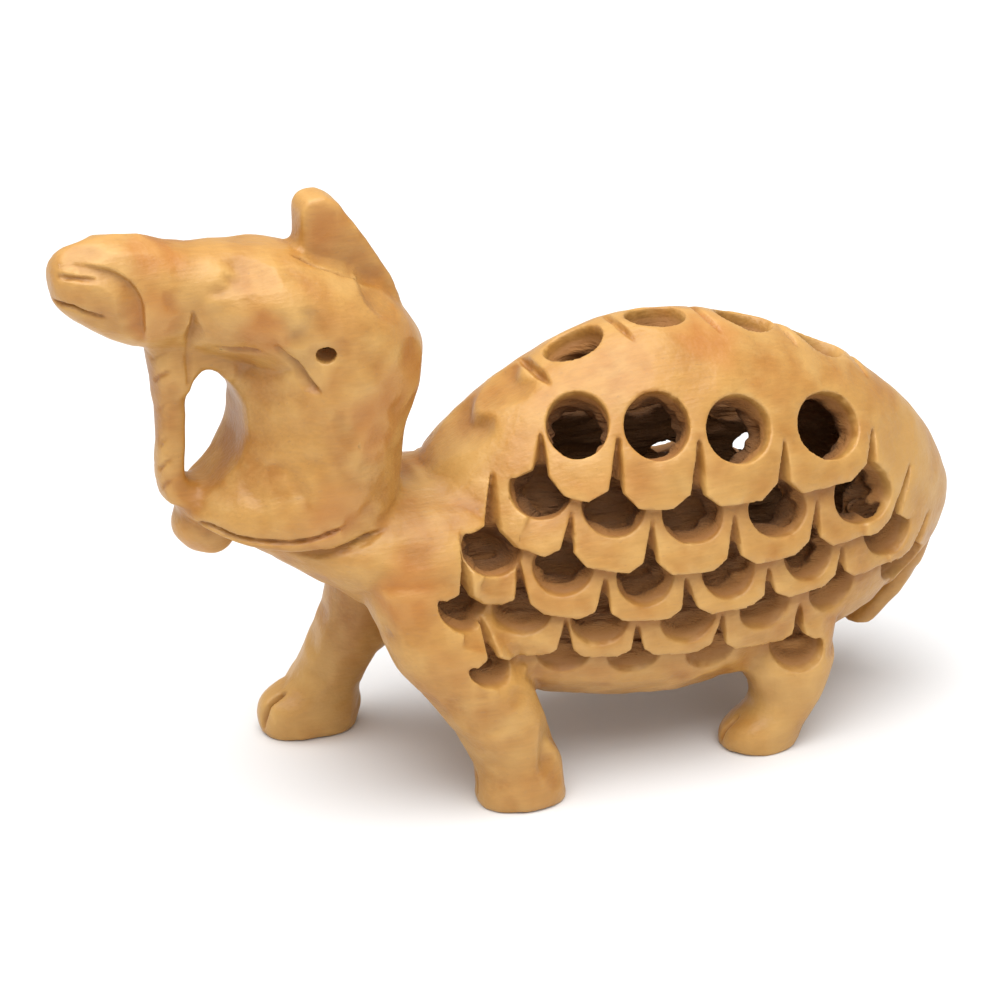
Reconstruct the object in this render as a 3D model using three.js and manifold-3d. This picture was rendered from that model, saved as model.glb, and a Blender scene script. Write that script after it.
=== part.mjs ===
// A small pierced camel carving, whittled from one block of pale wood.
// The camel faces -Y and stands on the ground at Z = 0. Its left side is +X. Millimetres.
// The body is a hollow barrel with a hump. Rows of overlapping scale tiles, each with a round hole,
// pierce both flanks, and one more row of holes follows the spine.

import * as THREE from "three";
import { mergeVertices } from "three/addons/utils/BufferGeometryUtils.js";
import Module from "manifold-3d";

const wasm = await Module();
wasm.setup();

// Body: a barrel from chest to rump, round below and drawn up into the hump above
const BODY = {
  halfWidth: 17,
  middleY: -0.7,
  front: 33,
  rear: 38,
  axisZ: 21.3,
  rise: 28.8,
  drop: 15.6,
  rearLift: 1,
  profile: 1.7,
  shoulderProfile: 2.3,
  humpRoundness: 1.9,
  bellyRoundness: 2.2,
};
const BODY_SIDES = 18;
const BODY_RINGS = 10;

// Hollow inside the body: half width, ends, top and floor
const HOLLOW = { halfWidth: 11.5, front: -23, rear: 27, top: 45, floor: 11 };

// Scale rows of one flank, from the hump down: where the holes stand along the body, the height of
// the row with its fall to the rear and its lift at the shoulder, the hole's radius, how far the tile
// reaches below the hole's middle, how far above it the tips of the row above end, and how deep the
// holes go on the left and on the right flank. The lower ones are blind pockets.
const ROWS = [
  {
    holes: [-12.7, -4.2, 5.4, 17.4],
    z: 41, fall: 0.2, lift: -0.008, radius: 3.7, strap: 8.4, tips: 0, left: 9, right: 9,
  },
  {
    holes: [-18, -10.4, -1, 9.7, 21.5],
    z: 31.9, fall: 0.14, lift: 0.006, radius: 3.4, strap: 5.8, tips: 1.6, left: 9, right: 9,
  },
  {
    holes: [-23.7, -16.6, -7.2, 3, 13.6, 25.2],
    z: 24.9, fall: 0.05, lift: 0.008, radius: 3.3, strap: 5, tips: 1.6, left: 9, right: 9,
  },
  {
    holes: [-27.6, -21.2, -12.7, -2.2, 7.8, 17.2],
    z: 19.5, fall: 0.055, lift: 0.0055, radius: 3.1, strap: 4.4, tips: 1.3, left: 9, right: 5,
  },
  {
    holes: [-24.9, -16.6, -8.3, 1.4, 12.2],
    z: 14.4, fall: 0.155, lift: 0, radius: 2.9, strap: 3.6, tips: 1.8, left: 5, right: 4,
  },
];
const STEP_DEPTH = 1.7;
const SLIT_DEPTH = 4;
const SLIT_HALF_WIDTH = 1.9;
const HOLE_SIDES = 8;
const RIDGE_HOLES = [-9.7, 0.3, 11.2, 20.3];
const RIDGE_RADIUS = 3.5;
const RIDGE_DEPTH = 8;

// Neck and skull: level oval sections of an upright column with a rounded crown
const NECK = [
  { y: -43, z: 31, wide: 8.5, deep: 9.5 },
  { y: -44, z: 33.5, wide: 10.4, deep: 12.2 },
  { y: -43.6, z: 36.5, wide: 10.8, deep: 12.6 },
  { y: -40.8, z: 39.5, wide: 10.6, deep: 10.4 },
  { y: -39.4, z: 43.5, wide: 10.4, deep: 9.4 },
  { y: -38.6, z: 49, wide: 10.4, deep: 10.2 },
  { y: -39, z: 53.5, wide: 10.2, deep: 10.4 },
  { y: -41.2, z: 58.5, wide: 9, deep: 9 },
  { y: -43.6, z: 61.9, wide: 6, deep: 6 },
];

// Muzzle: upright oval sections from inside the skull to the nose
const MUZZLE = [
  { y: -36, z: 55.5, wide: 8, deep: 6.4 },
  { y: -44, z: 57.9, wide: 9.2, deep: 7 },
  { y: -50, z: 59.5, wide: 7.2, deep: 6.2 },
  { y: -55, z: 60.9, wide: 5.6, deep: 5.6 },
  { y: -59.6, z: 61.9, wide: 5.2, deep: 6.4 },
  { y: -64.4, z: 63.7, wide: 4.4, deep: 4.5 },
  { y: -67.3, z: 64.3, wide: 3.2, deep: 2.9 },
  { y: -68.8, z: 64.4, wide: 1.8, deep: 1.5 },
];

// Ear fin along the middle of the crown: its side outline in Y and Z, and its thickness
const EAR_OUTLINE = [[-41.4, 58.5], [-41.4, 68.4], [-40.4, 69.8], [-38.6, 70], [-36.6, 68.2], [-30.4, 57.6], [-30.4, 54]];
const EAR_THICKNESS = 4;

// Rein: a slim strut left standing between the jaw and the foot of the neck
const REIN = [
  { y: -57.2, z: 60.5, wide: 2.6, deep: 2.4 },
  { y: -56.2, z: 54, wide: 2.2, deep: 1.8 },
  { y: -55.8, z: 45.5, wide: 2, deep: 1.5 },
  { y: -55.4, z: 39.5, wide: 2, deep: 1.6 },
  { y: -54, z: 35.5, wide: 3, deep: 2.4 },
];

// Chest: upright oval sections between the foot of the neck and the barrel
const CHEST = [
  { y: -49, z: 33.6, wide: 5, deep: 2 },
  { y: -44, z: 32, wide: 8.5, deep: 4 },
  { y: -38, z: 30, wide: 11.4, deep: 6 },
  { y: -31, z: 27.2, wide: 13.2, deep: 8.7 },
  { y: -23, z: 25.5, wide: 13.2, deep: 10.8 },
];

// Knob below the foot of the neck
const KNOB = [
  { x: -1, y: -52, z: 36.5, wide: 3, deep: 3 },
  { x: -1, y: -52.6, z: 33, wide: 3.6, deep: 3.6 },
  { x: -1, y: -52, z: 30.9, wide: 2, deep: 2 },
];

// Legs: level oval sections from inside the body to below the ground, where a cut makes the soles
const LEGS = {
  frontLeft: [
    { x: 8.6, y: -32, z: 27.5, wide: 5, deep: 6 },
    { x: 11, y: -28.6, z: 19, wide: 5, deep: 6.8 },
    { x: 12.2, y: -24.6, z: 12, wide: 4.7, deep: 5.8 },
    { x: 12.6, y: -21.6, z: 5.5, wide: 4.4, deep: 4.9 },
    { x: 12.7, y: -21, z: 1.5, wide: 4.7, deep: 5.2 },
    { x: 12.7, y: -21, z: -2, wide: 4.2, deep: 4.7 },
  ],
  frontRight: [
    { x: -9, y: -28.5, z: 25.5, wide: 5, deep: 6 },
    { x: -10.6, y: -30, z: 15.5, wide: 4.8, deep: 5.4 },
    { x: -11.6, y: -33.3, z: 9, wide: 4.3, deep: 4.5 },
    { x: -12, y: -35.3, z: 5.5, wide: 4.2, deep: 4.7 },
    { x: -12, y: -36.8, z: 3, wide: 4.4, deep: 6 },
    { x: -12, y: -36.9, z: -2, wide: 4.2, deep: 5.6 },
  ],
  rearLeft: [
    { x: 9, y: 12.5, z: 15.5, wide: 5.2, deep: 6.4 },
    { x: 10.4, y: 12.6, z: 9.5, wide: 4.6, deep: 5.3 },
    { x: 11, y: 12.2, z: 5.3, wide: 4, deep: 4.1 },
    { x: 11, y: 9.4, z: 2.1, wide: 4, deep: 4.8 },
    { x: 11, y: 8.8, z: -2, wide: 3.8, deep: 4.4 },
  ],
  rearRight: [
    { x: -9, y: 15, z: 15.5, wide: 5.2, deep: 7.5 },
    { x: -10.4, y: 17.6, z: 9.5, wide: 4.6, deep: 5.6 },
    { x: -11, y: 19.6, z: 5.3, wide: 4, deep: 4.2 },
    { x: -11, y: 18.6, z: 2.1, wide: 4, deep: 4.8 },
    { x: -11, y: 18, z: -2, wide: 3.8, deep: 4.5 },
  ],
};

// Tail: a short flat strip lying down the rump
const TAIL = [
  { y: 35.4, z: 21, wide: 2.4, deep: 1.6 },
  { y: 32.4, z: 14.5, wide: 2.6, deep: 2 },
  { y: 29.4, z: 10.5, wide: 2.6, deep: 2.4 },
  { y: 26.6, z: 7.4, wide: 2.3, deep: 1.8 },
];

// Knife cuts of the head, each for the left side and mirrored to the right: its places, the way out
// of the wood, its half width and its depth
const HEAD_CUTS = {
  nostril: { path: [[2.4, -68.4, 66], [3.4, -66.3, 65.8], [4.2, -63.8, 65.2]], out: [0.85, -0.3, 0.45], half: 0.6, deep: 1 },
  mouth: { path: [[1.4, -69.2, 62.6], [3, -66, 61.6], [4.2, -62.6, 60.6]], out: [0.8, -0.3, -0.5], half: 0.5, deep: 1.2 },
  bridle: { path: [[5.6, -55.2, 62.8], [5.4, -55.2, 59.4], [4.8, -54.8, 55]], out: [1, 0, -0.1], half: 1.2, deep: 2.4 },
  cheek: { path: [[6.4, -48.8, 55.4], [8.4, -45.4, 53.5], [9.6, -42.4, 51.2]], out: [0.9, -0.4, -0.1], half: 0.8, deep: 1 },
  ear: { path: [[3, -43.6, 64.2], [4.2, -39.3, 62.4], [2.6, -34, 59.6]], out: [0.5, 0.3, 0.8], half: 0.7, deep: 1.1 },
};
const EYE = { at: [9.6, -41.8, 55.1], out: [0.97, 0, 0.23], radius: 1.3, depth: 4 };

// Collar: a groove round the front of the neck's foot, this far round from its middle each way
const COLLAR = { y: -43.6, z: 33.5, wide: 10.9, deep: 12.7, sweep: 2, half: 0.9, depth: 1.5, steps: 10 };

// Toe clefts: where each one starts on top of the foot and ends at the toe
const TOE_CLEFTS = [
  [[13, -25.4, 4.6], [13.2, -27.4, 0.4]],
  [[-11.7, -40.6, 4.6], [-12, -43.4, 0.6]],
  [[11, 5.6, 4.4], [11, 3.6, 0.4]],
  [[-11, 14.8, 4.4], [-11, 13.2, 0.4]],
];

const WOOD = new THREE.MeshStandardMaterial({ color: 0xcf9f5e, roughness: 0.5, metalness: 0 });

function vec(x, y, z) {
  return new THREE.Vector3(x, y, z);
}

// Turns a closed geometry into a solid with its faces pointing out.
function solid(geometry) {
  const bare = new THREE.BufferGeometry();
  bare.setAttribute("position", geometry.getAttribute("position").clone());
  if (geometry.getIndex()) bare.setIndex(geometry.getIndex().clone());
  const merged = mergeVertices(bare, 1e-4);
  const vertProperties = new Float32Array(merged.getAttribute("position").array);
  const triVerts = new Uint32Array(merged.getIndex().array);
  const made = new wasm.Manifold(new wasm.Mesh({ numProp: 3, vertProperties, triVerts }));
  if (made.volume() > 0) return made;
  triVerts.reverse();
  return new wasm.Manifold(new wasm.Mesh({ numProp: 3, vertProperties, triVerts }));
}

// Skins a row of rings that have equal counts of points, and closes both ends with a fan.
function skinned(rings) {
  const count = rings[0].length;
  const points = rings.flat();
  const faces = [];
  for (let r = 0; r + 1 < rings.length; r++) {
    for (let i = 0; i < count; i++) {
      const a = r * count + i;
      const b = r * count + ((i + 1) % count);
      faces.push(a, b, b + count, a, b + count, a + count);
    }
  }
  for (const last of [false, true]) {
    const start = last ? (rings.length - 1) * count : 0;
    const middle = vec(0, 0, 0);
    rings[last ? rings.length - 1 : 0].forEach((p) => middle.addScaledVector(p, 1 / count));
    const hub = points.push(middle) - 1;
    for (let i = 0; i < count; i++) {
      const a = start + i;
      const b = start + ((i + 1) % count);
      faces.push(...(last ? [hub, a, b] : [hub, b, a]));
    }
  }
  const geometry = new THREE.BufferGeometry();
  geometry.setAttribute("position", new THREE.Float32BufferAttribute(points.flatMap((p) => p.toArray()), 3));
  geometry.setIndex(faces);
  return solid(geometry);
}

// A form skinned over parallel ovals: level ones up a column, or upright ones along the camel.
function form(sections, upright, sides) {
  const roundness = 2.2;
  const rings = sections.map(({ x = 0, y, z, wide, deep }) => {
    const ring = [];
    for (let k = 0; k < sides; k++) {
      const angle = ((k + 0.5) / sides) * 2 * Math.PI;
      const [c, s] = [Math.cos(angle), Math.sin(angle)];
      const across = wide * Math.sign(c) * Math.abs(c) ** (2 / roundness);
      const through = deep * Math.sign(s) * Math.abs(s) ** (2 / roundness);
      ring.push(upright ? vec(x + across, y, z + through) : vec(x + across, y + through, z));
    }
    return ring;
  });
  return skinned(rings);
}

// A flat plate: an outline extruded from one level to another, then placed by a matrix.
function plate(outline, low, high, place) {
  const shape = new THREE.Shape(outline.map(([x, y]) => new THREE.Vector2(x, y)));
  const geometry = new THREE.ExtrudeGeometry(shape, { depth: high - low, bevelEnabled: false });
  geometry.translate(0, 0, low);
  geometry.applyMatrix4(place);
  return solid(geometry);
}

// How full the body is at a place along it: its height share, width share and axis height.
function bodyAt(y) {
  const behind = y > BODY.middleY;
  const share = Math.min(1, Math.abs(y - BODY.middleY) / (behind ? BODY.rear : BODY.front));
  const full = (power) => (1 - share ** power) ** (1 / power);
  return {
    tall: full(BODY.profile),
    wide: full(behind ? BODY.profile : BODY.shoulderProfile),
    axis: BODY.axisZ + (behind ? BODY.rearLift * share ** 2 : 0),
  };
}

// A point of the body's skin at a place along it and an angle round it.
function bodyPoint(y, angle) {
  const { tall, wide, axis } = bodyAt(y);
  const [c, s] = [Math.cos(angle), Math.sin(angle)];
  const power = 2 / (s > 0 ? BODY.humpRoundness : BODY.bellyRoundness);
  const reach = s > 0 ? BODY.rise : BODY.drop;
  const x = BODY.halfWidth * wide * Math.sign(c) * Math.abs(c) ** power;
  return vec(x, y, axis + reach * tall * Math.sign(s) * Math.abs(s) ** power);
}

// The point of a flank at a place and height. Side is 1 for the left flank and -1 for the right.
function flank(y, z, side) {
  const { tall, wide, axis } = bodyAt(y);
  const above = z > axis;
  const power = above ? BODY.humpRoundness : BODY.bellyRoundness;
  const share = Math.min(1, Math.abs(z - axis) / ((above ? BODY.rise : BODY.drop) * tall));
  return vec(side * BODY.halfWidth * wide * (1 - share ** power) ** (1 / power), y, z);
}

function body() {
  const rings = [];
  for (let i = 0; i <= BODY_RINGS; i++) {
    const t = -0.96 + (1.92 * i) / BODY_RINGS;
    const y = BODY.middleY + Math.sin((t * Math.PI) / 2) * (t > 0 ? BODY.rear : BODY.front);
    const ring = [];
    for (let k = 0; k < BODY_SIDES; k++) ring.push(bodyPoint(y, ((k + 0.5) / BODY_SIDES) * 2 * Math.PI));
    rings.push(ring);
  }
  return skinned(rings);
}

function hollow() {
  const geometry = new THREE.SphereGeometry(1, 10, 6);
  geometry.rotateX(Math.PI / 2);
  geometry.scale(HOLLOW.halfWidth, (HOLLOW.rear - HOLLOW.front) / 2, (HOLLOW.top - HOLLOW.floor) / 2);
  geometry.translate(0, (HOLLOW.front + HOLLOW.rear) / 2, (HOLLOW.top + HOLLOW.floor) / 2);
  return solid(geometry);
}

function rowHeight(row, y) {
  return row.z - row.fall * y + row.lift * Math.min(y, 0) ** 2;
}

// Axes at a point of a flank: X along the row to the rear, Y down the flank, Z out of the wood.
function flankAxes(row, y, side) {
  const reach = 2;
  const here = flank(y, rowHeight(row, y), side);
  const along = flank(y + reach, rowHeight(row, y + reach), side);
  along.sub(flank(y - reach, rowHeight(row, y - reach), side)).normalize();
  const rise = flank(y, here.z + reach, side).sub(flank(y, here.z - reach, side));
  const out = along.clone().cross(rise).normalize().multiplyScalar(side);
  const down = rise.addScaledVector(along, -rise.dot(along)).normalize().negate();
  return { here, along, down, out };
}

// A matrix that carries a drawing's X, Y and Z to three directions at a point.
function placed(at, x, y, z) {
  return new THREE.Matrix4().makeBasis(x, y, z).setPosition(at);
}

function hole({ here, along, down, out }, radius, depth, sides = HOLE_SIDES) {
  const outside = 3;
  const geometry = new THREE.CylinderGeometry(radius, radius * 0.9, depth + outside, sides);
  geometry.rotateX(Math.PI / 2);
  geometry.translate(0, 0, (outside - depth) / 2);
  geometry.applyMatrix4(placed(here, along, down, out));
  return solid(geometry);
}

// The skin's point a given distance down the flank from a hole's middle.
function downFrom({ here, down }, distance, side) {
  const y = here.y + down.y * distance;
  return flank(y, here.z + down.z * distance, side);
}

// The knife cut that slopes a whole row of tiles in under the tips of the row above it.
function slopeUnderTips(row, side) {
  const proud = 2.5;
  const stations = [];
  row.holes.forEach((y, i) => {
    if (i > 0) stations.push((row.holes[i - 1] + y) / 2);
    stations.push(y);
  });
  const rings = stations.map((y) => {
    const axes = flankAxes(row, y, side);
    const high = downFrom(axes, -row.tips, side);
    const low = downFrom(axes, row.strap, side);
    return [
      high.clone().addScaledVector(axes.out, -STEP_DEPTH),
      high.clone().addScaledVector(axes.out, proud),
      low.clone().addScaledVector(axes.out, proud),
      low,
    ];
  });
  return skinned(rings);
}

// The V-shaped slit between two neighbouring tiles. It widens down to the next row's hole.
function slit(row, axes, side) {
  const proud = 1.2;
  const ends = [
    { at: downFrom(axes, row.tips ? -0.8 : 1, side), half: 0.2, deep: 0.4 },
    { at: downFrom(axes, row.strap - 1, side), half: SLIT_HALF_WIDTH, deep: SLIT_DEPTH },
  ];
  return skinned(ends.map(({ at, half, deep }) => {
    const rim = (half * (deep + proud)) / deep;
    return [
      at.clone().addScaledVector(axes.along, -rim).addScaledVector(axes.out, proud),
      at.clone().addScaledVector(axes.along, rim).addScaledVector(axes.out, proud),
      at.clone().addScaledVector(axes.out, -deep),
    ];
  }));
}

// Carves one flank: the sloping rows, then the holes and the slits between them.
function piercedFlank(wood, side) {
  for (const row of ROWS.slice(1)) wood = wood.subtract(slopeUnderTips(row, side));
  for (const row of ROWS) {
    const lowest = row === ROWS.at(-1);
    row.holes.forEach((y, i) => {
      const depth = side > 0 ? row.left : row.right;
      wood = wood.subtract(hole(flankAxes(row, y, side), row.radius, depth));
      if (i === 0 || lowest) return;
      const between = flankAxes(row, (row.holes[i - 1] + y) / 2, side);
      wood = wood.subtract(slit(row, between, side));
    });
  }
  return wood;
}

// Cuts the row of holes that runs along the spine.
function piercedRidge(wood) {
  for (const y of RIDGE_HOLES) {
    const here = bodyPoint(y, Math.PI / 2);
    const along = bodyPoint(y + 1, Math.PI / 2).sub(bodyPoint(y - 1, Math.PI / 2)).normalize();
    const down = vec(1, 0, 0);
    const out = down.clone().cross(along);
    wood = wood.subtract(hole({ here, along, down, out }, RIDGE_RADIUS, RIDGE_DEPTH));
  }
  return wood;
}

function pierced(wood) {
  return piercedRidge(piercedFlank(piercedFlank(wood.subtract(hollow()), 1), -1));
}

function ear() {
  const place = placed(vec(-EAR_THICKNESS / 2, 0, 0), vec(0, 1, 0), vec(0, 0, 1), vec(1, 0, 0));
  return plate(EAR_OUTLINE, 0, EAR_THICKNESS, place);
}

// A V-shaped cut along a path, which fades out at both ends. Outs gives the way out of the wood at
// each place.
function knifeCut(path, outs, half, deep) {
  const proud = 1;
  return skinned(path.map((at, i) => {
    const ahead = path[Math.min(i + 1, path.length - 1)];
    const behind = path[Math.max(i - 1, 0)];
    const side = ahead.clone().sub(behind).cross(outs[i]).normalize();
    const share = i === 0 || i === path.length - 1 ? 0.3 : 1;
    const rim = (half * share * (deep * share + proud)) / (deep * share);
    return [
      at.clone().addScaledVector(outs[i], proud).addScaledVector(side, -rim),
      at.clone().addScaledVector(outs[i], proud).addScaledVector(side, rim),
      at.clone().addScaledVector(outs[i], -deep * share),
    ];
  }));
}

// Carves the face: the eye and the cuts of one side.
function carvedFace(wood, side) {
  const mirrored = ([x, y, z]) => vec(side * x, y, z);
  for (const { path, out, half, deep } of Object.values(HEAD_CUTS)) {
    const outs = path.map(() => mirrored(out).normalize());
    wood = wood.subtract(knifeCut(path.map(mirrored), outs, half, deep));
  }
  const out = mirrored(EYE.out).normalize();
  const along = vec(0, 1, 0);
  const down = out.clone().cross(along);
  return wood.subtract(hole({ here: mirrored(EYE.at), along, down, out }, EYE.radius, EYE.depth));
}

// The groove round the front of the neck's foot, which rises a little to the front and the back.
function collar() {
  const path = [];
  const outs = [];
  for (let i = 0; i <= COLLAR.steps; i++) {
    const angle = COLLAR.sweep * ((2 * i) / COLLAR.steps - 1);
    const out = vec(Math.sin(angle) / COLLAR.wide, -Math.cos(angle) / COLLAR.deep, 0).normalize();
    const y = COLLAR.y - COLLAR.deep * Math.cos(angle);
    const rise = 0.02 * (y + 45) ** 2;
    path.push(vec(COLLAR.wide * Math.sin(angle), y, COLLAR.z + rise));
    outs.push(out);
  }
  return knifeCut(path, outs, COLLAR.half, COLLAR.depth);
}

function toeCleft([top, toe]) {
  const out = vec(0, -0.75, 0.65);
  const path = [vec(...top), vec(...top).lerp(vec(...toe), 0.5).addScaledVector(out, 0.5), vec(...toe)];
  return knifeCut(path, path.map(() => out), 0.6, 1.3);
}

function carved(wood) {
  wood = carvedFace(carvedFace(wood, 1), -1).subtract(collar());
  for (const cleft of TOE_CLEFTS) wood = wood.subtract(toeCleft(cleft));
  return wood;
}

function roughedOut() {
  let wood = body();
  for (const sections of [CHEST, MUZZLE]) wood = wood.add(form(sections, true, 14));
  for (const sections of [NECK, KNOB, TAIL]) wood = wood.add(form(sections, false, 14));
  wood = wood.add(form(REIN, false, 8)).add(ear());
  for (const leg of Object.values(LEGS)) wood = wood.add(form(leg, false, 12));
  return wood;
}

// Cuts away what lies below the ground, which leaves the flat soles.
function cutAtGround(wood) {
  const ground = new THREE.BoxGeometry(200, 200, 10);
  ground.translate(0, 0, -5);
  return wood.subtract(solid(ground));
}

function finished(wood) {
  const { vertProperties, triVerts } = wood.getMesh();
  const geometry = new THREE.BufferGeometry();
  geometry.setAttribute("position", new THREE.BufferAttribute(vertProperties, 3));
  geometry.setIndex(new THREE.BufferAttribute(triVerts, 1));
  geometry.computeVertexNormals();
  return geometry;
}

// Moves the carving so that the middle of its footprint box stands at the origin.
function centred(geometry) {
  geometry.computeBoundingBox();
  const middle = geometry.boundingBox.getCenter(vec(0, 0, 0));
  return geometry.translate(-middle.x, -middle.y, 0);
}

const camel = new THREE.Mesh(centred(finished(cutAtGround(carved(pierced(roughedOut()))))), WOOD);
camel.name = "camel";
const group = new THREE.Group();
group.add(camel);

export default group;
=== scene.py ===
"""A small pierced camel, whittled from one block of pale waxed wood, on a plain pale floor.

The shape is worked out in millimetres in the carving's own space, where the barrel of the body
lies over the origin, the camel faces -Y and the ground is at Z = 0. The finished mesh is then
moved to where the frame's solid stands, in metres.
"""

import math
import random

import bmesh
import bpy
import numpy as np
from bpy.props import FloatProperty, FloatVectorProperty, PointerProperty
from mathutils import Matrix, Vector
from mathutils.bvhtree import BVHTree


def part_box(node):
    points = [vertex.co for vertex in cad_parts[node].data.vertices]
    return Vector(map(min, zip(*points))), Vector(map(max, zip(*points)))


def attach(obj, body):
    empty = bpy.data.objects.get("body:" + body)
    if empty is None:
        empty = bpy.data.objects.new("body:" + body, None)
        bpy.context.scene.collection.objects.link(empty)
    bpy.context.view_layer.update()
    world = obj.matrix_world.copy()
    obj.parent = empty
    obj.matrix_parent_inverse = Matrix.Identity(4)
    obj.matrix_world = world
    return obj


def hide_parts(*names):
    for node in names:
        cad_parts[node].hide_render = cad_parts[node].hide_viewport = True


bl_info = {
    "name": "Pierced Camel",
    "version": (1, 0, 0),
    "blender": (4, 5, 0),
    "location": "View3D > Sidebar > Carving",
    "description": "Carves a small pierced camel from one block of wood and sets it on a pale floor",
    "category": "Object",
}

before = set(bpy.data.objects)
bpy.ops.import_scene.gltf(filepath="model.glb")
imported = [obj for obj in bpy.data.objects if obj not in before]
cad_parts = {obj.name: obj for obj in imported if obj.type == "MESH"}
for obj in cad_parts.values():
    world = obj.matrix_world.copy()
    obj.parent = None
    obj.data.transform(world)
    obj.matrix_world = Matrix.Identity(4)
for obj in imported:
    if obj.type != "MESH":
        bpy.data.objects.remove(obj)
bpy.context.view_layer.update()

MM = 0.001
NOSE_Y = -68.8
SEED = 12

# Places in the frame: how far the carving's own space is moved along Y, in millimetres
SHIFT_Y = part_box("camel")[0].y / MM - NOSE_Y

# Body barrel: half width, middle, reach to the front and the rear, height of its axis, reach up into
# the hump and down to the belly, and how round it is along its length and across
HALF_WIDTH = 17
MIDDLE_Y = -0.7
FRONT = 33
REAR = 38
AXIS_Z = 21.3
RISE = 28.8
DROP = 15.6
REAR_LIFT = 1
PROFILE = 1.7
SHOULDER_PROFILE = 2.3
HUMP_ROUNDNESS = 1.9
BELLY_ROUNDNESS = 2.2

# Rows of one flank from the hump down: where the holes stand along the body, where the slit above each
# hole starts, the height of the row, its fall to the rear and its lift at the shoulder, half the width
# and height of a hole and how much wider the holes grow to the rear, how far a tile reaches below the
# hole's middle, how far above it the tips of the row above end and how that changes along the row, the
# width and height of a tile's cut corner, how steeply the hole narrows to a bowl, how deep it goes, and
# which holes open into a pocket of the hollow
ROWS = [
    {
        "holes": [-12.7, -4.2, 5.4, 17.4], "slits": [],
        "z": 41, "fall": 0.2, "lift": -0.008, "wide": 3.5, "widen": 0.011, "tall": 3.95,
        "strap": 8.4, "tips": 0, "tilt": 0, "corner": (0, 0), "bowl": 0, "deep": 8,
        "pockets": [-12.7, -4.2, 5.4, 17.4],
    },
    {
        "holes": [-18, -10.4, -1, 9.7, 21.5], "slits": [-16.5, -8.6, 0.4, 11.1, 23.8],
        "z": 31.9, "fall": 0.14, "lift": 0.006, "wide": 3.7, "widen": 0.005, "tall": 3.4,
        "strap": 6.6, "tips": 0.8, "tilt": 0.06, "corner": (2.1, 1.7), "bowl": 0.15, "deep": 5.6,
        "pockets": [9.7, 21.5],
    },
    {
        "holes": [-23.7, -16.6, -7.2, 3, 13.6, 25.2], "slits": [-22, -14.6, -5.8, 4.2, 15.7, 29],
        "z": 24.9, "fall": 0.05, "lift": 0.008, "wide": 3.7, "widen": 0, "tall": 3.3,
        "strap": 5.1, "tips": 0.6, "tilt": -0.01, "corner": (1.8, 1.3), "bowl": 0.45, "deep": 5.4,
        "pockets": [],
    },
    {
        "holes": [-27.6, -21.2, -12.7, -2.2, 7.8, 17.2, 28.2],
        "slits": [-27.1, -21.3, -11.7, -2.5, 8.2, 19, 32],
        "z": 19.5, "fall": 0.055, "lift": 0.0055, "wide": 3.7, "widen": 0, "tall": 3.0,
        "strap": 4.6, "tips": 0.8, "tilt": 0.02, "corner": (1.6, 0.9), "bowl": 0.7, "deep": 4.6,
        "pockets": [],
    },
    {
        "holes": [-24.9, -16.6, -8.3, 1.4, 12.2], "slits": [-25.4, -16.5, -8.2, 2.5, 12.5],
        "z": 14.4, "fall": 0.155, "lift": 0, "wide": 3.6, "widen": 0, "tall": 2.7,
        "strap": 3.6, "tips": 0.8, "tilt": 0.03, "corner": (1.4, 0.8), "bowl": 0.9, "deep": 3.6,
        "pockets": [],
    },
]
# The rows of the right flank stand further to the front and lower than those of the left one
RIGHT_FORWARD = 2.5
RIGHT_LOWER = 1.3
RIDGE_HOLES = [-9.7, 0.3, 11.2, 20.3]

# Hollow inside the body: half width, ends, top and floor
HOLLOW = {"wide": 9.6, "front": -22, "rear": 27, "top": 43.5, "floor": 12.5}

# Oval sections, each with its place and its half sizes: level ones up a column
NECK = [
    {"y": -43.4, "z": 31, "wide": 10, "deep": 11.6},
    {"y": -43.8, "z": 34, "wide": 10.8, "deep": 12.5},
    {"y": -43.4, "z": 37, "wide": 10.8, "deep": 12.4},
    {"y": -41.6, "z": 40.2, "wide": 10.6, "deep": 11.0},
    {"y": -40.2, "z": 44, "wide": 10.5, "deep": 10.2},
    {"y": -39.2, "z": 49, "wide": 10.4, "deep": 10.6},
    {"y": -39, "z": 53.5, "wide": 10.2, "deep": 10.4},
    {"y": -41.2, "z": 58.5, "wide": 9, "deep": 9},
    {"y": -43.6, "z": 61.9, "wide": 6, "deep": 6},
]
# Under the neck's foot the wood is cut away up to a level that rises to the front and the back
FOOT = {"y": -44.5, "z": 32.9, "rise": 0.024, "front": -62, "rear": -34}
# The opening between the rein and the neck, as seen from the left, from its top forwards
OPENING = [
    (-52.9, 52.5), (-54.2, 51.2), (-54.6, 48.9), (-54.6, 45.5), (-55.1, 41.5), (-55.2, 39.4),
    (-52.4, 38.9), (-49.9, 41.6), (-48.9, 44), (-48.7, 48), (-49.6, 50.1), (-51.4, 52),
]
REIN = [
    {"y": -57.0, "z": 60.5, "wide": 3.6, "deep": 2.9},
    {"y": -56.5, "z": 56, "wide": 2.8, "deep": 2.4},
    {"y": -56.2, "z": 51, "wide": 2.3, "deep": 1.9},
    {"y": -56.1, "z": 45.5, "wide": 2, "deep": 1.7},
    {"y": -56.1, "z": 40.5, "wide": 2.1, "deep": 1.8},
    {"y": -54.8, "z": 37, "wide": 3, "deep": 2.6},
]
KNOB = [
    {"x": -1, "y": -52, "z": 36.5, "wide": 3, "deep": 3},
    {"x": -1, "y": -52.6, "z": 33, "wide": 3.6, "deep": 3.6},
    {"x": -1, "y": -52.1, "z": 30.3, "wide": 2.2, "deep": 2.2},
]
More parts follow.
